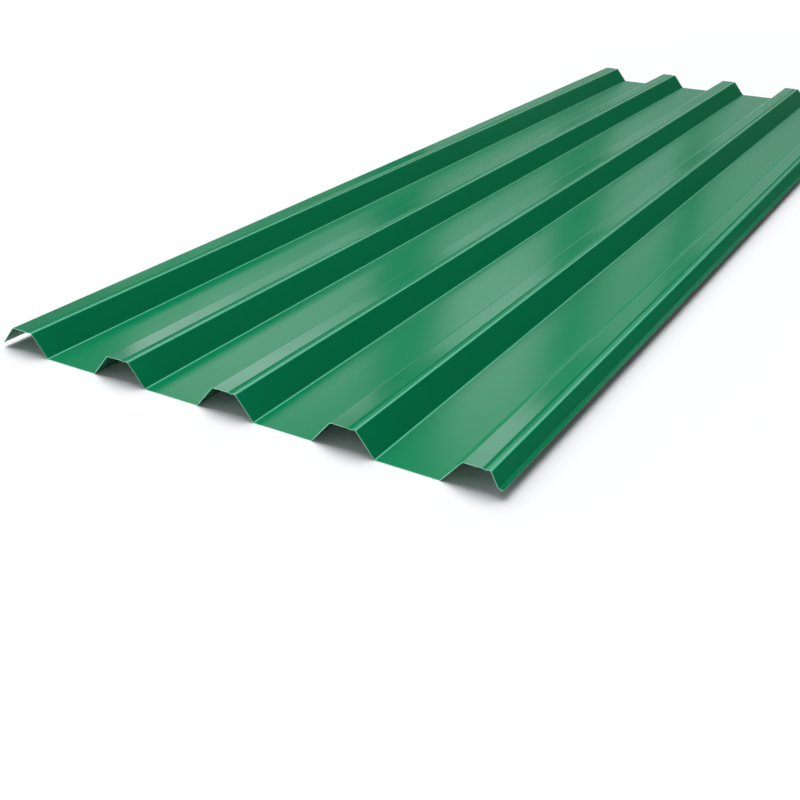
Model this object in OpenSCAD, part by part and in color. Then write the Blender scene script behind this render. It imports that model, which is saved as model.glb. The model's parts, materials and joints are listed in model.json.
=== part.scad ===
// Trapezoidal roofing sheet: one length of painted steel, roll-formed into ribs and pans.
// Millimetres and degrees. X runs across the ribs, Y along them, and Z is up.
// The origin is under the middle of the sheet, on the level that the pans lie on.
// The section is set out on the middle of the steel's thickness.

/* [Sheet] */
// Length along the ribs
sheet_l = 2500; // [600:10:6000]
// Thickness of the painted steel
steel_t = 0.7; // [0.4:0.05:1.2]
// Inside radius of the bends at the crests, the pans and the lip
bend_r = 3; // [1:0.25:5]

/* [Ribs] */
// Number of ribs, with the lap rib at each side
rib_count = 5; // [2:1:9]
// Distance from the middle of one rib to the next
rib_pitch = 190; // [150:1:300]
// Height of the crests above the pans
rib_depth = 35; // [31:1:60]
// Width of a crest between its corners
crest_w = 38; // [34:1:60]
// Slope of the webs that join the crests to the pans
web_angle = 50; // [40:1:70]

/* [Crest groove] */
// Width of the stiffening groove along each crest
groove_w = 8; // [5:0.5:9]
// Depth of the groove
groove_depth = 1; // [0.3:0.1:1.4]
// Flat strip between the groove and the bend at the right of the crest
groove_land = 0.7; // [0.3:0.1:6]
// Inside radius of the groove's bends
groove_r = 2; // [0.5:0.25:2.5]

/* [Side laps] */
// Drop of the plain leg on the overlap edge, at the slope of the webs
overlap_drop = 29; // [15:1:30]
// Drop of the leg on the underlap edge
underlap_drop = 21; // [12:1:24]
// How much steeper than the webs the underlap leg is
underlap_lean = 12; // [8:1:18]
// Downward slope of the lip that ends the underlap leg
lip_droop = 10; // [0:1:20]
// Room between the lip and the web of the sheet that laps over it
lap_gap = 0.8; // [0.3:0.1:2]

/* [Bends] */
// Largest angle that one facet of a bend turns through
facet_angle = 8; // [3:1:15]

/* [Hidden] */

paint_green = [0.02, 0.49, 0.29];
half_t = steel_t / 2;
web_run = rib_depth / tan(web_angle);
first_rib_x = -rib_pitch * (rib_count - 1) / 2;
last_rib_x = -first_rib_x;

// The underlap leg turns in steeply, so that the next sheet's rib drops over it. Its lip then
// reaches out until only the lap gap is left to the underside of that rib's web.
underlap_angle = web_angle + underlap_lean;
foot_run = underlap_drop / tan(underlap_angle);
web_underside_run = (underlap_drop + steel_t) / tan(web_angle) - half_t / sin(web_angle);
lip_run = (web_underside_run - foot_run - lap_gap) / (1 - tan(lip_droop) / tan(web_angle));

overlap_edge = [first_rib_x - crest_w / 2 - overlap_drop / tan(web_angle), rib_depth - overlap_drop];
underlap_foot = [last_rib_x + crest_w / 2 + foot_run, rib_depth - underlap_drop];
lip_edge = underlap_foot + lip_run * [1, -tan(lip_droop)];

// How far a bend reaches along the flats on each side of its corner.
function bend_reach(radius, turn) = (radius + half_t) * tan(turn / 2);

// The groove lies beside the right-hand bend of the crest. The bend of the underlap leg reaches
// furthest, and every crest has its groove in the same place, so that sheets nest.
groove_slope = atan(2 * groove_depth / groove_w);
groove_edge_x = crest_w / 2 - bend_reach(bend_r, underlap_angle) - groove_land
    - bend_reach(groove_r, groove_slope);
groove_x = groove_edge_x - groove_w / 2;

// A corner of the section is its X and Z before it is bent, and the inside radius of its bend.
function bend_at(x, z, radius) = [x, z, radius];

// The corners of one crest, with the groove that stiffens it.
function crest_corners(x) = [
    bend_at(x - crest_w / 2, rib_depth, bend_r),
    bend_at(x + groove_x - groove_w / 2, rib_depth, groove_r),
    bend_at(x + groove_x, rib_depth - groove_depth, groove_r),
    bend_at(x + groove_edge_x, rib_depth, groove_r),
    bend_at(x + crest_w / 2, rib_depth, bend_r),
];

// The two corners of the pan to the right of a rib.
function pan_corners(x) = [
    bend_at(x + crest_w / 2 + web_run, 0, bend_r),
    bend_at(x + rib_pitch - crest_w / 2 - web_run, 0, bend_r),
];

// Every corner from the overlap edge, at the left, to the lip of the underlap edge.
section_corners = [
    bend_at(overlap_edge[0], overlap_edge[1], 0),
    for (x = [first_rib_x : rib_pitch : last_rib_x - rib_pitch / 2])
        each concat(crest_corners(x), pan_corners(x)),
    each crest_corners(last_rib_x),
    bend_at(underlap_foot[0], underlap_foot[1], bend_r),
    bend_at(lip_edge[0], lip_edge[1], 0),
];

function point_of(corner) = [corner[0], corner[1]];
function along(angle) = [cos(angle), sin(angle)];
function above(angle) = [-sin(angle), cos(angle)];
function heading(from, to) = atan2(to[1] - from[1], to[0] - from[0]);

// One face of a bend. Side is 1 for the upper face of the steel and -1 for the lower one.
function bend_arc(before, corner, after, side) =
    let (
        arrive = heading(before, corner),
        turn = heading(corner, after) - arrive,
        way = sign(turn),
        middle_r = corner[2] + half_t,
        start = point_of(corner) - bend_reach(corner[2], abs(turn)) * along(arrive),
        centre = start + way * middle_r * above(arrive),
        steps = ceil(abs(turn) / facet_angle)
    )
    [
        for (step = [0 : steps])
            centre + (side * half_t - way * middle_r) * above(arrive + turn * step / steps)
    ];

// One face of the whole section, from the overlap edge to the lip.
function section_face(corners, side) =
    let (
        last = len(corners) - 1,
        leave = heading(corners[0], corners[1]),
        end = heading(corners[last - 1], corners[last])
    )
    [
        point_of(corners[0]) + side * half_t * above(leave),
        for (i = [1 : last - 1])
            each bend_arc(corners[i - 1], corners[i], corners[i + 1], side),
        point_of(corners[last]) + side * half_t * above(end),
    ];

function reversed(points) = [for (i = [len(points) - 1 : -1 : 0]) points[i]];

// The section stands on the lower face of its pans, with the middle of its width at X = 0.
module section() {
    outline = concat(section_face(section_corners, 1), reversed(section_face(section_corners, -1)));
    across = [for (point = outline) point[0]];
    middle_x = (min(across) + max(across)) / 2;
    translate([-middle_x, half_t])
        polygon(outline);
}

module profiled_sheet() {
    color(paint_green)
        rotate([90, 0, 0])
            linear_extrude(height = sheet_l, center = true)
                section();
}

profiled_sheet();
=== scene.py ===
# %% [markdown]
# # A profiled steel sheet, rolled and painted
# A roofing sheet starts as a flat painted strip that runs through pairs of rollers. Each pair bends
# it a little more, until it has flat pans, sloping webs and narrow crests. This lesson follows the
# same road: fold a strip, round its folds, let the flats wander a little, give it the thickness of
# the steel, and paint it.

import json
import math

import bmesh
import bpy
from mathutils import Matrix, Vector


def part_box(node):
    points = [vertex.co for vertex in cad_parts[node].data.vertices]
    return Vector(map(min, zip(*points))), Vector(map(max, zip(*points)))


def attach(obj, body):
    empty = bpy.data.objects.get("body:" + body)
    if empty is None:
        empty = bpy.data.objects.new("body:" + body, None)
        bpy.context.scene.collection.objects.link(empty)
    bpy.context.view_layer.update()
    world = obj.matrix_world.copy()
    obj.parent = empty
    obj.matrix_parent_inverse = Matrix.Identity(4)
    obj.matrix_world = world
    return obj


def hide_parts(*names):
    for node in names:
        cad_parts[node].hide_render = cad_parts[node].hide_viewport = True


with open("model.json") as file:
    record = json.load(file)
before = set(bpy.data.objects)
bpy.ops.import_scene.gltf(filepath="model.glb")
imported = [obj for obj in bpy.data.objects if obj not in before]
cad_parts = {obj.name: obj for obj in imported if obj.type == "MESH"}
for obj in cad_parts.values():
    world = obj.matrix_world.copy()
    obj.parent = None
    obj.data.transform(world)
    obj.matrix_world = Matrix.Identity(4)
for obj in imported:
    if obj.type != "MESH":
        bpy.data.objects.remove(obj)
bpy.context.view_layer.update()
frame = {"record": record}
sheet_low, sheet_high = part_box("profiled_sheet")
scene = bpy.context.scene
scene.view_settings.view_transform = "Standard"
print("sheet from", tuple(sheet_low), "to", tuple(sheet_high))

# %% [markdown]
# ## The camera
# The camera stands at the front right corner, a little above the sheet, and looks along the ribs to
# the left. Its place was fitted to the corners of the sheet in the photograph. Blender's camera
# looks down its own -Z, so the three columns of its matrix are right, up and back.

# %% Directions of the camera
CAMERA_TURN = math.radians(-29.7057)
CAMERA_TILT = math.radians(-27.2122)
CAMERA_ROLL = math.radians(0.9263)

ahead = Vector((
    math.cos(CAMERA_TILT) * math.sin(CAMERA_TURN),
    math.cos(CAMERA_TILT) * math.cos(CAMERA_TURN),
    math.sin(CAMERA_TILT),
))
aside = Vector((math.cos(CAMERA_TURN), -math.sin(CAMERA_TURN), 0))
above = aside.cross(ahead)
right = math.cos(CAMERA_ROLL) * aside + math.sin(CAMERA_ROLL) * above
up = math.cos(CAMERA_ROLL) * above - math.sin(CAMERA_ROLL) * aside
print("camera looks along", tuple(ahead))

# %% Camera
CAMERA_PLACE = Vector((0.865923, -2.282261, 0.706982))
CAMERA_LENS = 49.696
CAMERA_SENSOR = 36
CAMERA_SIGHT = 200

camera = bpy.data.objects.new("camera", bpy.data.cameras.new("camera"))
camera.data.lens = CAMERA_LENS
camera.data.sensor_width = CAMERA_SENSOR
camera.data.clip_end = CAMERA_SIGHT
axes = Matrix((right, up, -ahead)).transposed().to_4x4()
camera.matrix_world = Matrix.Translation(CAMERA_PLACE) @ axes
scene.collection.objects.link(camera)
scene.camera = camera
print("camera at", tuple(CAMERA_PLACE))

# %% [markdown]
# ## Folding the strip
# The section is a row of straight flats with a fold between each two. Drawing every bend as an arc
# by hand would be long and easy to get wrong. It is simpler to place only the corners, as on a bent
# paper model, and to round the folds afterwards. One rib with the pan beside it is enough, because
# the others are copies of it. The row lies in the middle of the steel's thickness, and a hair
# inside the box of the CAD model.

# %% Measures of the section
HAIR = 0.000001
STEEL = 0.0007
CREST = 0.038
WEB_ANGLE = math.radians(50)

mounts = {mount["name"]: Vector(mount["pos_m"]) for mount in frame["record"]["mounts"]}
rib_count = sum(name.startswith("crest_seat") for name in mounts)
first_rib = mounts["overlap_rib"].x
pitch = (mounts["underlap_rib"].x - first_rib) / (rib_count - 1)
near_end = sheet_low.y + HAIR
far_end = sheet_high.y - HAIR
rib_depth = sheet_high.z - sheet_low.z - STEEL - HAIR
low = sheet_low.z + STEEL / 2
high = low + rib_depth
web_run = rib_depth / math.tan(WEB_ANGLE)
print(rib_count, "ribs, pitch", round(pitch, 4), "web run", round(web_run, 4))

# %% Corners of one rib and its pan
GROOVE_WIDTH = 0.008
GROOVE_DEPTH = 0.001
GROOVE_PLACE = 0.012


def fold_row(strip, points):
    """Adds corners at the near end, joined in a row, and returns them."""
    row = [strip.verts.new((x, near_end, z)) for x, z in points]
    for before, after in zip(row, row[1:]):
        strip.edges.new((before, after))
    return row


strip = bmesh.new()
crest = fold_row(strip, [
    (first_rib - CREST / 2, high),
    (first_rib + GROOVE_PLACE - GROOVE_WIDTH / 2, high),
    (first_rib + GROOVE_PLACE, high - GROOVE_DEPTH),
    (first_rib + GROOVE_PLACE + GROOVE_WIDTH / 2, high),
    (first_rib + CREST / 2, high),
])
pan = fold_row(strip, [
    (first_rib + CREST / 2 + web_run, low),
    (first_rib + pitch - CREST / 2 - web_run, low),
])
strip.edges.new((crest[-1], pan[0]))
print("one rib and its pan have", len(strip.verts), "corners")

# %% [markdown]
# ## The other ribs and the side laps
# Sheets are laid side by side, and their edges lap over each other. The left edge is a plain leg
# that goes over the rib of the next sheet. The right edge has a steeper leg with a small lip, which
# goes under it. The ribs between are copies of the first one, joined web by web. The last rib needs
# no pan, so the pan of the last copy goes again.

# %% Copy the ribs
one_rib = crest + pan + list(strip.edges)
pan_end = pan[-1]
for number in range(1, rib_count):
    copy = bmesh.ops.duplicate(strip, geom=one_rib)
    corners = [part for part in copy["geom"] if isinstance(part, bmesh.types.BMVert)]
    bmesh.ops.translate(strip, verts=corners, vec=(number * pitch, 0, 0))
    strip.edges.new((pan_end, copy["vert_map"][crest[0]]))
    pan_end = copy["vert_map"][pan[-1]]

last_crest = copy["vert_map"][crest[-1]]
last_pan = [copy["vert_map"][corner] for corner in pan]
bmesh.ops.delete(strip, geom=last_pan, context="VERTS")
print(len(strip.verts), "corners in", rib_count, "ribs")

# %% Add the two side laps
OVERLAP_DROP = 0.029
UNDERLAP_DROP = 0.021
UNDERLAP_ANGLE = math.radians(62)
LIP_RUN = 0.00679
LIP_DROOP = math.radians(10)

leg_x = first_rib - CREST / 2 - OVERLAP_DROP / math.tan(WEB_ANGLE)
leg = fold_row(strip, [(leg_x, high - OVERLAP_DROP)])
strip.edges.new((leg[0], crest[0]))

foot_x = last_crest.co.x + UNDERLAP_DROP / math.tan(UNDERLAP_ANGLE)
foot_z = high - UNDERLAP_DROP
lip = fold_row(strip, [
    (foot_x, foot_z),
    (foot_x + LIP_RUN, foot_z - LIP_RUN * math.tan(LIP_DROOP)),
])
strip.edges.new((last_crest, lip[0]))
print(len(strip.verts), "corners in the section")

# %% [markdown]
# ## Drawing the strip out
# Extruding the row along the ribs gives one long face for each flat. The extrusion doesn't know
# which side of the strip is the top, so the normals are made to agree first, and turned over if
# they point down.

# %% Extrude the row along the ribs
drawn = bmesh.ops.extrude_edge_only(strip, edges=strip.edges[:])
far_corners = [part for part in drawn["geom"] if isinstance(part, bmesh.types.BMVert)]
bmesh.ops.translate(strip, verts=far_corners, vec=(0, far_end - near_end, 0))
bmesh.ops.recalc_face_normals(strip, faces=strip.faces[:])
strip.normal_update()
if max(strip.faces, key=lambda face: face.calc_area()).normal.z < 0:
    bmesh.ops.reverse_faces(strip, faces=strip.faces[:])
print(len(strip.faces), "flats,", round(far_end - near_end, 4), "m long")

# %% [markdown]
# ## Rounding the folds
# Each fold is now an edge between two faces, and Blender can say how far it turns. A bend of radius
# r that turns by an angle t starts r * tan(t / 2) away from the fold, and a bevel of that width
# with a profile of 0.5 is a round bend. Folds that turn alike are rounded together.

# %% Find the folds
SAME_TURN = 0.2


def turn_of(edge):
    """How far the strip turns at a fold, in degrees."""
    return math.degrees(edge.calc_face_angle())


def all_folds():
    """The edges between two faces."""
    return [edge for edge in strip.edges if len(edge.link_faces) == 2]


turns = {round(turn_of(edge), 1) for edge in all_folds()}
print("the folds turn by", sorted(turns), "degrees")

# %% [markdown]
# The bends that face right on each rib get a fine pale line of painted highlight, strongest at the
# near end and faint at the far end. The foot of the last leg gets none. A number on each vertex,
# called bend, keeps that painted highlight through the later steps until the paint reads it.

# %% Round the folds and paint a highlight on the tight bends
BEND = 0.003 + STEEL / 2
GROOVE_BEND = 0.002 + STEEL / 2
BEND_PARTS, GROOVE_PARTS = 8, 4
TIGHT = 40
HIGHLIGHT_NEAR, HIGHLIGHT_FAR = 1.0, 0.1

bend_highlight_mark = strip.verts.layers.float.new("bend")
for turn in sorted(turns, reverse=True):
    tight = turn > TIGHT
    radius = BEND if tight else GROOVE_BEND
    folds = [edge for edge in all_folds() if abs(turn_of(edge) - turn) < SAME_TURN]
    made = bmesh.ops.bevel(
        strip, geom=folds, offset=radius * math.tan(math.radians(turn) / 2), offset_type="OFFSET",
        affect="EDGES", segments=BEND_PARTS if tight else GROOVE_PARTS, profile=0.5, material=-1,
    )
    rounded = set(made["faces"])
    for vertex in {vertex for face in rounded for vertex in face.verts}:
        # Painted highlight: the rounded tight bends that face right get the pale line, strong near
        # and faint far.
        catches_highlight = vertex.normal.x > 0 and vertex.co.x < foot_x - BEND
        if tight and catches_highlight and rounded.issuperset(vertex.link_faces):
            vertex[bend_highlight_mark] = HIGHLIGHT_NEAR if vertex.co.y < 0 else HIGHLIGHT_FAR
    print(len(folds), "folds of", turn, "degrees")

# %% [markdown]
# ## The flats wander a little
# A thin rolled sheet is never quite flat: its pans and crests swell by a few tenths of a millimetre
# between the rollers, and the reflections in the paint sway with them. The flats need points in
# their middle for that, so they are cut across and along first.

# %% Cut the flats
ROWS = 80
PAN_PARTS, PAN_AT_LEAST = 10, 0.06
CREST_PARTS, CREST_AT_LEAST = 4, 0.02


def runs_across(edge):
    """True for an edge that lies across the ribs."""
    return abs(edge.verts[0].co.y - edge.verts[1].co.y) < HAIR


for parts, at_least in ((PAN_PARTS, PAN_AT_LEAST), (CREST_PARTS, CREST_AT_LEAST)):
    wide = [edge for edge in strip.edges if runs_across(edge) and edge.calc_length() > at_least]
    bmesh.ops.subdivide_edges(strip, edges=wide, cuts=parts - 1, use_grid_fill=True)
long_edges = [edge for edge in strip.edges if not runs_across(edge)]
bmesh.ops.subdivide_edges(strip, edges=long_edges, cuts=ROWS - 1, use_grid_fill=True)
print(len(strip.faces), "faces on the middle of the steel")

# %% [markdown]
# The pans only rise and the crests only sink, so the sheet keeps its size. Three sine waves of
# unlike lengths never repeat along the sheet, and the swell fades out at the cut ends, which stay
# straight. Each wave has a strength, a number of radians for each metre along the rib, and a shift
# for each metre across, so that no two flats swell alike.

# %% Waves along a flat
WAVES = ((1.0, 11.3, 31), (0.7, 18.7, -57), (0.3, 33, 0))
END_FADE = 0.15

highest = sum(strength for strength, along, shift in WAVES)


def swell(x, y, middle, half_width):
    """How far a flat has moved, from 0 at its folds to 1 at most."""
    across = max(0, 1 - ((x - middle) / half_width) ** 2) ** 2
    to_end = min(1, min(y - sheet_low.y, sheet_high.y - y) / END_FADE)
    fade_out = to_end ** 2 * (3 - 2 * to_end)
    wave = sum(strength * math.sin(along * y + shift * middle) for strength, along, shift in WAVES)
    return across * fade_out * (wave + highest) / (2 * highest)


print(len(WAVES), "waves, together", highest, "at most")

# %% Let the flats swell
SWELL = 0.00022
CREST_SHARE = 0.6

bend_reach = BEND * math.tan(WEB_ANGLE / 2)
pan_half = (pitch - CREST) / 2 - web_run - bend_reach
flat_left = bend_reach - CREST / 2
flat_right = GROOVE_PLACE - GROOVE_WIDTH / 2
flat_half = (flat_right - flat_left) / 2
moved = 0
for vertex in strip.verts:
    x, y, z = vertex.co
    rib = min(rib_count - 1, max(0, round((x - first_rib) / pitch)))
    crest_middle = first_rib + rib * pitch + (flat_left + flat_right) / 2
    pan_middle = first_rib + (math.floor((x - first_rib) / pitch) + 0.5) * pitch
    if abs(z - high) < HAIR and abs(x - crest_middle) < flat_half:
        vertex.co.z -= CREST_SHARE * SWELL * swell(x, y, crest_middle, flat_half)
        moved += 1
    if abs(z - low) < HAIR and abs(x - pan_middle) < pan_half:
        vertex.co.z += SWELL * swell(x, y, pan_middle, pan_half)
        moved += 1
print(moved, "points moved by", 1000 * SWELL, "mm at most")

# %% [markdown]
# ## The thickness of the steel
# A Solidify modifier gives the folded strip the thickness of the steel, half to each side, and a
# material of its own to the underside and to the cut edges. Shears leave the arris of a cut edge a
# little round, which a very small bevel shows. Weighted normals keep the flats flat right up to it.

# %% The sheet as a piece
mesh = bpy.data.meshes.new("painted_sheet")
strip.to_mesh(mesh)
strip.free()
mesh.shade_smooth()
sheet = bpy.data.objects.new("painted_sheet", mesh)
scene.collection.objects.link(sheet)

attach(sheet, "root")
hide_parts("profiled_sheet")
print("piece", sheet.name, "with", len(mesh.polygons), "faces before its thickness")

# %% Thickness, arris and normals
BACK_SLOT, EDGE_SLOT = 1, 2
ARRIS = 0.00008
ARRIS_PARTS = 2
ARRIS_TURN = math.radians(60)

gauge = sheet.modifiers.new("gauge", "SOLIDIFY")
gauge.thickness = STEEL
gauge.offset = 0
gauge.use_even_offset = True
gauge.material_offset = BACK_SLOT
gauge.material_offset_rim = EDGE_SLOT

arris = sheet.modifiers.new("arris", "BEVEL")
arris.width = ARRIS
arris.segments = ARRIS_PARTS
arris.limit_method = "ANGLE"
arris.angle_limit = ARRIS_TURN
arris.use_clamp_overlap = False

flat_normals = sheet.modifiers.new("flat normals", "WEIGHTED_NORMAL")
flat_normals.keep_sharp = True
print("modifiers:", [modifier.name for modifier in sheet.modifiers])

# %% [markdown]
# ## The paint film
# The paint is baked on before the strip is rolled. Its tone drifts a little along the coil, the
# rollers leave faint lines along the ribs, and close up there is a fine orange peel. Over the bends
# it carries a painted highlight, a paler green. Top and underside share these marks in different
# strengths, so the marks are one node group with a few inputs, built once and placed in both
# paints.

# %% Inputs and outputs of the film group
def node(tree, kind, **settings):
    """Adds a node and sets its properties."""
    made = tree.nodes.new(kind)
    for name, value in settings.items():
        setattr(made, name, value)
    return made


film = bpy.data.node_groups.new("paint film with painted bend highlights", "ShaderNodeTree")
for name in ("Drift", "Highlight Strength", "Roughness", "Roll Lines", "Orange Peel"):
    film.interface.new_socket(name, in_out="INPUT", socket_type="NodeSocketFloat")
for name in ("Tone", "Bend Highlight", "Crest", "Roughness", "Height"):
    film.interface.new_socket(name, in_out="OUTPUT", socket_type="NodeSocketFloat")
film_in = node(film, "NodeGroupInput").outputs
film_out = node(film, "NodeGroupOutput").inputs
film_place = node(film, "ShaderNodeTexCoord").outputs["Object"]
print("film group takes", [socket.name for socket in film_in if socket.name])

# %% [markdown]
# ## Tone and painted bend highlights
# A procedural finish is mostly the same few moves: make noise on the object's own coordinates,
# stretch it, and bring it to the right strength. Helpers for these moves keep the cells short. The
# tone is a large cloudy noise, drawn out along the coil. The painted highlight on the bends needs
# no texture, because the number on their vertices says where it is painted.

# %% Helpers for noise
def calculate(tree, operation, *parts):
    """A Math node on numbers and sockets."""
    made = node(tree, "ShaderNodeMath", operation=operation)
    for socket, part in zip(made.inputs, parts):
        if isinstance(part, (int, float)):
            socket.default_value = part
        else:
            tree.links.new(part, socket)
    return made.outputs[0]


def noise(tree, place, scale, detail, stretch=(1, 1, 1)):
    """A noise texture on a place scaled by stretch, from 0 to 1."""
    mapping = node(tree, "ShaderNodeMapping")
    mapping.inputs["Scale"].default_value = stretch
    tree.links.new(place, mapping.inputs["Vector"])
    texture = node(tree, "ShaderNodeTexNoise")
    texture.inputs["Scale"].default_value = scale
    texture.inputs["Detail"].default_value = detail
    tree.links.new(mapping.outputs["Vector"], texture.inputs["Vector"])
    return texture.outputs["Fac"]


def spread(tree, value, around, amount):
    """around + (value - 0.5) * amount, where around and amount are numbers or sockets."""
    return calculate(tree, "MULTIPLY_ADD", calculate(tree, "SUBTRACT", value, 0.5), amount, around)


print("helpers for noise ready")

# %% Tone and painted bend highlights
cloud = noise(film, film_place, scale=3.0, detail=2, stretch=(1, 0.5, 1))
film.links.new(spread(film, cloud, 1.0, film_in["Drift"]), film_out["Tone"])

# The bend number on the vertices is a painted highlight, mixed in as a paler green.
highlight_on_bends = node(film, "ShaderNodeAttribute", attribute_name="bend").outputs["Fac"]
film.links.new(calculate(film, "MULTIPLY", highlight_on_bends, film_in["Highlight Strength"]), film_out["Bend Highlight"])
print("tone drifts, and the bends are read from their vertices")

# %% [markdown]
# ## Polished crests
# The crests are the parts of a sheet that hands and neighbours rub, most of all at the near end
# where it is lifted. There the paint is polished, and it mirrors more. The height of a point tells
# whether it lies on a crest, and its place along the ribs tells how near the end it is.

# %% Crest polish
CREST_EDGE, CREST_FULL = 0.0004, 0.00015
POLISH_END, POLISH_FULL = 0.35, 0.05
FAR_POLISH = 0.1


def fade(tree, value, start, end, weakest=0.0, strongest=1.0):
    """A smooth step from weakest at start to strongest at end."""
    step = node(tree, "ShaderNodeMapRange", interpolation_type="SMOOTHSTEP")
    limits = {"From Min": start, "From Max": end, "To Min": weakest, "To Max": strongest}
    for name, limit in limits.items():
        step.inputs[name].default_value = limit
    tree.links.new(value, step.inputs["Value"])
    return step.outputs["Result"]


spot = node(film, "ShaderNodeSeparateXYZ")
film.links.new(film_place, spot.inputs["Vector"])
on_crest = fade(film, spot.outputs["Z"], sheet_high.z - CREST_EDGE, sheet_high.z - CREST_FULL)
near_polish = fade(
    film, spot.outputs["Y"], sheet_low.y + POLISH_END, sheet_low.y + POLISH_FULL,
    weakest=FAR_POLISH,
)
film.links.new(calculate(film, "MULTIPLY", on_crest, near_polish), film_out["Crest"])
print("crests are polished up to", POLISH_END, "m from the near end")

# %% [markdown]
# ## Roll lines and orange peel
# The rollers run along the ribs, so their lines are noise drawn out a hundredfold that way. They
# change only the roughness, which is a little lower all along the crests. The orange peel is as
# fine as the paint's own skin, far too small for geometry, and goes out as a height for a bump.

# %% Roll lines and orange peel
CREST_SMOOTHING = -0.02

roll_lines = noise(film, film_place, scale=90.0, detail=1, stretch=(1, 0.01, 1))
rolled = spread(film, roll_lines, film_in["Roughness"], film_in["Roll Lines"])
smoothed = calculate(film, "MULTIPLY_ADD", on_crest, CREST_SMOOTHING, rolled)
film.links.new(smoothed, film_out["Roughness"])

peel = noise(film, film_place, scale=1600.0, detail=1)
film.links.new(spread(film, peel, 0.0, film_in["Orange Peel"]), film_out["Height"])
print("paint film group with", len(film.nodes), "nodes")

# %% [markdown]
# ## Two paints
# The top is a satin green. The underside has a thinner, duller coat of the same green, with
# stronger marks. Both are one recipe with different values: the tone shades the green, the bends
# mix in a paler green as a painted highlight, and the film's roughness and height go to the shader.
# Only the top has polished crests, as a clear coat whose weight follows the crest mask.

# %% Recipe for a paint
PAINT_IOR = 1.5
POLISH_ROUGHNESS = 0.12
PEEL_DEPTH = 0.0000005


def painted(name, color, highlight_color, film_values, polished):
    """A green paint whose tone, painted bend highlight, gloss and height come from the film group.
    """
    material = bpy.data.materials.new(name)
    material.use_nodes = True
    tree = material.node_tree
    shader = tree.nodes["Principled BSDF"].inputs
    shader["IOR"].default_value = PAINT_IOR
    marks = node(tree, "ShaderNodeGroup", node_tree=film)
    for socket, value in film_values.items():
        marks.inputs[socket].default_value = value
    tint = node(tree, "ShaderNodeVectorMath", operation="SCALE")
    tint.inputs[0].default_value = color
    tree.links.new(marks.outputs["Tone"], tint.inputs["Scale"])
    highlight_mix = node(tree, "ShaderNodeMix", data_type="RGBA")
    tree.links.new(marks.outputs["Bend Highlight"], highlight_mix.inputs["Factor"])
    tree.links.new(tint.outputs[0], highlight_mix.inputs["A"])
    highlight_mix.inputs["B"].default_value = (*highlight_color, 1)
    tree.links.new(highlight_mix.outputs["Result"], shader["Base Color"])
    tree.links.new(marks.outputs["Roughness"], shader["Roughness"])
    if polished:
        shader["Coat IOR"].default_value = PAINT_IOR
        shader["Coat Roughness"].default_value = POLISH_ROUGHNESS
        tree.links.new(marks.outputs["Crest"], shader["Coat Weight"])
    bump = node(tree, "ShaderNodeBump")
    bump.inputs["Distance"].default_value = PEEL_DEPTH
    tree.links.new(marks.outputs["Height"], bump.inputs["Height"])
    tree.links.new(bump.outputs["Normal"], shader["Normal"])
    return material


print("recipe for a paint ready")

# %% Paint for the top and the underside
# The second green of each pair is the painted highlight on the bends.
TOP_GREEN, TOP_HIGHLIGHT_GREEN = (0.0016, 0.25, 0.098), (0.13, 0.66, 0.4)
BACK_GREEN, BACK_HIGHLIGHT_GREEN = (0.0066, 0.165, 0.077), (0.11, 0.385, 0.22)
TOP_FILM = {
    "Drift": 0.06, "Highlight Strength": 1.0, "Roughness": 0.2, "Roll Lines": 0.04, "Orange Peel": 1.0,
}
BACK_FILM = {
    "Drift": 0.1, "Highlight Strength": 0.4, "Roughness": 0.45, "Roll Lines": 0.1, "Orange Peel": 1.6,
}

top_coat = painted("green top coat", TOP_GREEN, TOP_HIGHLIGHT_GREEN, TOP_FILM, polished=True)
back_coat = painted("green back coat", BACK_GREEN, BACK_HIGHLIGHT_GREEN, BACK_FILM, polished=False)
print("paints:", top_coat.name, "and", back_coat.name)

# %% [markdown]
# ## The cut edge
# Shears leave the bare steel between its two bright layers of zinc. Its pale green is a painted
# highlight along the cut. Close up the cut is broken into fine bright and dark marks. Noise through
# a ramp of two pale greens gives them, and the same noise as a height breaks up the shine.

# %% Cut edge
# The two pale greens are painted highlight over the bright metal of the cut.
EDGE_HIGHLIGHT_DULL, EDGE_HIGHLIGHT_BRIGHT = (0.34, 0.78, 0.56, 1), (0.5, 0.95, 0.74, 1)
EDGE_ROUGHNESS = 0.3
BURR_DEPTH = 0.00001

cut_edge = bpy.data.materials.new("sheared steel edge with painted highlight")
cut_edge.use_nodes = True
edge_tree = cut_edge.node_tree
edge_shader = edge_tree.nodes["Principled BSDF"].inputs
edge_shader["Metallic"].default_value = 1.0
edge_shader["Roughness"].default_value = EDGE_ROUGHNESS
edge_place = node(edge_tree, "ShaderNodeTexCoord").outputs["Object"]
burr = noise(edge_tree, edge_place, scale=900.0, detail=3)
ramp = node(edge_tree, "ShaderNodeValToRGB")
ramp.color_ramp.elements[0].color = EDGE_HIGHLIGHT_DULL
ramp.color_ramp.elements[1].color = EDGE_HIGHLIGHT_BRIGHT
edge_tree.links.new(burr, ramp.inputs["Fac"])
edge_tree.links.new(ramp.outputs["Color"], edge_shader["Base Color"])
edge_bump = node(edge_tree, "ShaderNodeBump")
edge_bump.inputs["Distance"].default_value = BURR_DEPTH
edge_tree.links.new(burr, edge_bump.inputs["Height"])
edge_tree.links.new(edge_bump.outputs["Normal"], edge_shader["Normal"])
print("cut edge with", len(edge_tree.nodes), "nodes")

# %% Put the finishes on the sheet
for material in (top_coat, back_coat, cut_edge):
    sheet.data.materials.append(material)
print("finishes:", [material.name for material in sheet.data.materials])

# %% [markdown]
# ## The floor
# A matt white floor catches the shadow that makes the sheet lie on something. Far from the lamps a
# floor turns grey, and a grey line would show where it meets the white background. So it also glows
# a little, only for the camera and for reflections, and only far from the sheet, where there is no
# shadow to lose.

# %% Floor
FLOOR_REACH = 60

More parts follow.
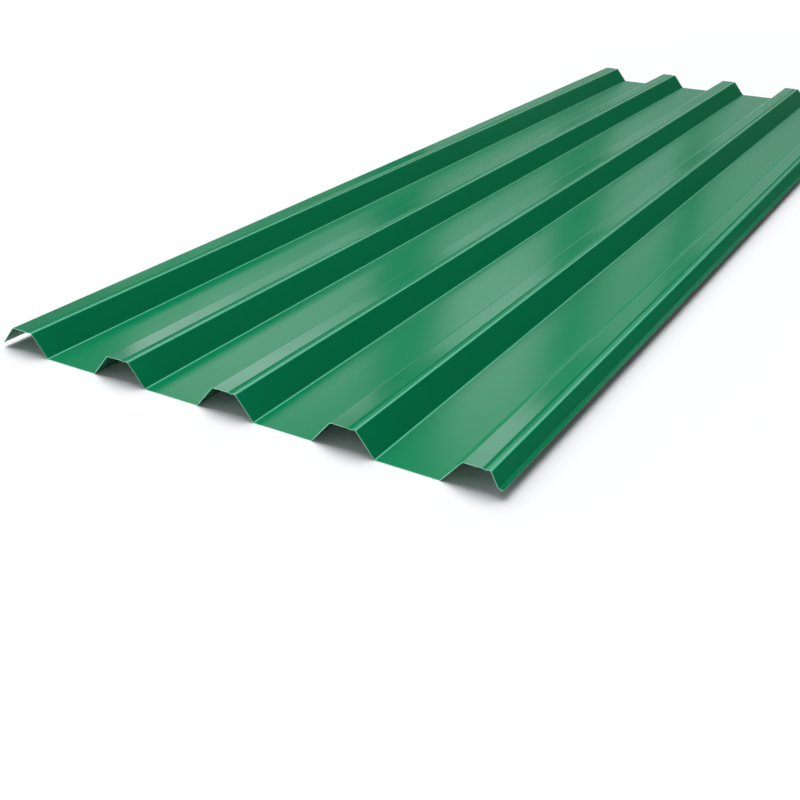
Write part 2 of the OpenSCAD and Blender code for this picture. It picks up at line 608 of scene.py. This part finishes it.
floor_mesh = bpy.data.meshes.new("floor")
ground = bmesh.new()
bmesh.ops.create_grid(ground, x_segments=1, y_segments=1, size=FLOOR_REACH)
ground.to_mesh(floor_mesh)
ground.free()
floor = bpy.data.objects.new("floor", floor_mesh)
scene.collection.objects.link(floor)
print("floor reaches", FLOOR_REACH, "m to each side")

# %% White floor that glows far away
FLOOR_WHITE = (0.95, 0.95, 0.95, 1)
GLOW_WHITE = (1, 1, 1, 1)
GLOW_FROM, GLOW_TO, GLOW = 1.5, 8.0, 0.3

floor_white = bpy.data.materials.new("white floor")
floor_white.use_nodes = True
floor_tree = floor_white.node_tree
floor_shader = floor_tree.nodes["Principled BSDF"].inputs
floor_shader["Base Color"].default_value = FLOOR_WHITE
floor_shader["Roughness"].default_value = 1.0
floor_shader["Specular IOR Level"].default_value = 0.0
floor_shader["Emission Color"].default_value = GLOW_WHITE
floor_rays = node(floor_tree, "ShaderNodeLightPath").outputs
seen = calculate(floor_tree, "MAXIMUM", floor_rays["Is Camera Ray"], floor_rays["Is Glossy Ray"])
seen = calculate(floor_tree, "MAXIMUM", seen, floor_rays["Is Transmission Ray"])
away = node(floor_tree, "ShaderNodeVectorMath", operation="LENGTH")
floor_place = node(floor_tree, "ShaderNodeTexCoord").outputs["Object"]
floor_tree.links.new(floor_place, away.inputs[0])
far_glow = fade(floor_tree, away.outputs["Value"], GLOW_FROM, GLOW_TO, strongest=GLOW)
glow = calculate(floor_tree, "MULTIPLY", seen, far_glow)
floor_tree.links.new(glow, floor_shader["Emission Strength"])
floor.data.materials.append(floor_white)
print("floor glows from", GLOW_FROM, "to", GLOW_TO, "m")

# %% [markdown]
# ## Soft boxes behind the sheet
# Satin paint shows its surroundings, so the lamps matter as much as the paint. The pans lie like
# dull mirrors, and from this camera they mirror what stands behind the sheet and to its left: a row
# of soft boxes with dark gaps between them. A photographer looks where a reflection should start
# and end, and puts the box there. So each box is given by the two angles between which it stands,
# in degrees to the left of straight ahead, by its lower and upper edge, and by its radiance. A
# lamp's radiance is its power divided by pi and by its area, and 1 is the white of the floor.

# %% Helpers for soft boxes
BOX_DISTANCE = 7.0
BOX_WHITE = (0.96, 1.0, 1.06)


def box_lamp(name, place, facing, width, height, radiance):
    """A rectangular soft box that the camera doesn't see."""
    lamp = bpy.data.lights.new(name, "AREA")
    lamp.shape = "RECTANGLE"
    lamp.size = width
    lamp.size_y = height
    lamp.energy = radiance * math.pi * width * height
    lamp.color = BOX_WHITE
    box = bpy.data.objects.new(name, lamp)
    box.location = place
    box.rotation_mode = "QUATERNION"
    box.rotation_quaternion = facing.to_track_quat("-Z", "Y")
    box.visible_camera = False
    scene.collection.objects.link(box)


def soft_box(name, left, right, bottom, top, radiance):
    """A soft box that stands round the camera's place, between two angles."""
    turn = math.radians(left + right) / 2
    out = Vector((-math.sin(turn), math.cos(turn), 0))
    foot = Vector((CAMERA_PLACE.x, CAMERA_PLACE.y, (bottom + top) / 2))
    width = 2 * BOX_DISTANCE * math.tan(math.radians(left - right) / 2)
    box_lamp(name, foot + BOX_DISTANCE * out, -out, width, top - bottom, radiance)


print("soft boxes stand", BOX_DISTANCE, "m away")

# %% [markdown]
# The lower edge of the first box goes down in four steps, from left to right. The first crest lies
# higher and farther away than the pan beside it, so it mirrors what is a little lower, close to
# these edges, and stays darker than the pan. One more box hangs high above, for the webs that face
# this way and lean back.

# %% Soft boxes at the back left
BACK_BOXES = (
    # name, left, right, bottom, top, radiance
    ("back_edge", 52.0, 44.8, 1.2, 3.1, 0.13),
    ("back_1_step_1", 44.8, 41.0, 2.12, 3.1, 1.2),
    ("back_1_step_2", 41.0, 37.0, 1.92, 3.1, 1.2),
    ("back_1_step_3", 37.0, 34.0, 1.8, 3.1, 1.04),
    ("back_1_step_4", 34.0, 31.3, 1.64, 3.1, 0.94),
    ("back_1_lower", 44.5, 31.8, 0.1, 1.45, 0.04),
    ("back_2_upper", 27.4, 21.8, 1.75, 3.75, 1.1),
    ("back_2_lower", 28.6, 21.8, 0.1, 1.75, 0.36),
    ("back_3", 19.1, 15.6, 0.95, 3.1, 0.52),
    ("back_4", 14.1, 9.0, 0.95, 3.1, 0.42),
    ("back_low", 21.8, 9.0, 0.1, 0.95, 0.33),
    ("left_high", 54.0, 32.0, 5.6, 9.5, 0.9),
)

for back_box in BACK_BOXES:
    soft_box(*back_box)
print(len(bpy.data.lights), "boxes behind the sheet")

# %% [markdown]
# ## Boxes for the other sides
# A sheet should show its ribs from every side, so more boxes stand all round, with gaps between
# them. Those at the left are tall, because the webs that face them lean back and mirror what is
# high up. Three strips hang overhead for views from above, and one tall narrow box far behind draws
# a fine line along the bends.

# %% Boxes all round
HALF_BOX = 7
LEFT_BOXES = (62, 86, 110, 135, 158)
LEFT_BOTTOM, LEFT_TOP, LEFT_RADIANCE = 0.4, 12.0, 0.9
RIGHT_BOXES = (180, 200, 219, 239, 260, 282, 304)
RIGHT_BOTTOM, RIGHT_TOP, RIGHT_RADIANCE = 0.4, 4.2, 1.0

for middle in LEFT_BOXES:
    sides = (middle + HALF_BOX, middle - HALF_BOX)
    soft_box(f"left_{middle}", *sides, LEFT_BOTTOM, LEFT_TOP, LEFT_RADIANCE)
for middle in RIGHT_BOXES:
    sides = (middle + HALF_BOX, middle - HALF_BOX)
    soft_box(f"right_{middle}", *sides, RIGHT_BOTTOM, RIGHT_TOP, RIGHT_RADIANCE)
print(len(bpy.data.lights), "boxes with those all round")

# %% Strips overhead and the line box
STRIP_PLACES = (-1.9, 0.1, 2.1)
STRIP_HEIGHT = 6.0
STRIP_SIZE = (4.0, 0.9)
STRIP_RADIANCE = 1.0
LINE_PLACE = Vector((2.0, 14.0, 12.0))
LINE_SIZE = (1.4, 15.0)
LINE_RADIANCE = 1.5

for number, y in enumerate(STRIP_PLACES):
    strip_place = Vector((0, y, STRIP_HEIGHT))
    box_lamp(
        f"overhead_{number + 1}", strip_place, Vector((0, 0, -1)), *STRIP_SIZE, STRIP_RADIANCE)
box_lamp("line_box", LINE_PLACE, Vector((0, -1, 0)), *LINE_SIZE, LINE_RADIANCE)
print(len(bpy.data.lights), "boxes in all")

# %% [markdown]
# ## Light for the colour
# Reflections lie on top of the paint, but its green comes from light that the paint scatters. A
# wide sun lamp overhead gives that light softly, tilted so that it comes from the left and the webs
# on the right stay deep green. It is kept out of the reflections, because the boxes give those.

# %% Overhead lamp
SKY_STRENGTH = 2.75
SKY_WIDTH = math.radians(60)
SKY_FACING = Vector((0.5, -0.3, -1))

sky = bpy.data.lights.new("overhead", "SUN")
sky.energy = SKY_STRENGTH
sky.angle = SKY_WIDTH
overhead = bpy.data.objects.new("overhead", sky)
overhead.rotation_mode = "QUATERNION"
overhead.rotation_quaternion = SKY_FACING.to_track_quat("-Z", "Y")
overhead.visible_glossy = False
scene.collection.objects.link(overhead)
print("overhead lamp of", SKY_STRENGTH, "W/m2")

# %% [markdown]
# ## A dark card
# A photographer keeps a bright floor out of a reflection with a black card. A long low one stands
# beside the right-hand leg, which mirrors it and stays as deep a green as the webs. Only
# reflections see the card: it casts no shadow, and the camera looks through it.

# %% Dark card
CARD_HEIGHT, CARD_LENGTH = 0.09, 5.5
CARD_X, CARD_Y = 0.47, 1.5

card_mesh = bpy.data.meshes.new("dark_card")
board = bmesh.new()
bmesh.ops.create_grid(board, x_segments=1, y_segments=1, size=0.5)
bmesh.ops.scale(board, verts=board.verts, vec=(CARD_HEIGHT, CARD_LENGTH, 1))
upright = Matrix.Rotation(math.radians(-90), 3, "Y")
bmesh.ops.rotate(board, verts=board.verts, matrix=upright)
bmesh.ops.translate(board, verts=board.verts, vec=(CARD_X, CARD_Y, CARD_HEIGHT / 2))
board.to_mesh(card_mesh)
board.free()
card = bpy.data.objects.new("dark_card", card_mesh)
card.visible_camera = False
card.visible_diffuse = False
card.visible_shadow = False
scene.collection.objects.link(card)
print("dark card", CARD_LENGTH, "m long and", CARD_HEIGHT, "m high")

# %% Black of the card
CARD_BLACK = (0.01, 0.01, 0.01, 1)

card_black = bpy.data.materials.new("dark card")
card_black.use_nodes = True
card_shader = card_black.node_tree.nodes["Principled BSDF"].inputs
card_shader["Base Color"].default_value = CARD_BLACK
card_shader["Roughness"].default_value = 1.0
card_shader["Specular IOR Level"].default_value = 0.0
card.data.materials.append(card_black)
print("card is", card_black.name)

# %% [markdown]
# ## The background
# The world is white where the camera sees it. In reflections it is white only in a low band, like
# the foot of a studio wall, and dark above it, so that the boxes decide what the paint mirrors. It
# gives next to no light of its own.

# %% World
WALL_TOP = math.sin(math.radians(6))
WALL_FOOT = math.sin(math.radians(1))
BACKDROP_DARK = (0.015, 0.015, 0.015, 1)
BACKDROP_WHITE = (1, 1, 1, 1)

world = bpy.data.worlds.new("studio")
scene.world = world
world.use_nodes = True
world_tree = world.node_tree
world_rays = node(world_tree, "ShaderNodeLightPath").outputs
direction = node(world_tree, "ShaderNodeSeparateXYZ")
world_place = node(world_tree, "ShaderNodeTexCoord").outputs["Generated"]
world_tree.links.new(world_place, direction.inputs["Vector"])
wall = fade(world_tree, direction.outputs["Z"], WALL_TOP, WALL_FOOT)
mirrored = calculate(
    world_tree, "MAXIMUM", world_rays["Is Glossy Ray"], world_rays["Is Transmission Ray"])
mirrored_wall = calculate(world_tree, "MULTIPLY", mirrored, wall)
shown = calculate(world_tree, "MAXIMUM", world_rays["Is Camera Ray"], mirrored_wall)
backdrop = node(world_tree, "ShaderNodeMix", data_type="RGBA")
backdrop.inputs["A"].default_value = BACKDROP_DARK
backdrop.inputs["B"].default_value = BACKDROP_WHITE
world_tree.links.new(shown, backdrop.inputs["Factor"])
world_tree.links.new(backdrop.outputs["Result"], world_tree.nodes["Background"].inputs["Color"])
print("world with", len(world_tree.nodes), "nodes")
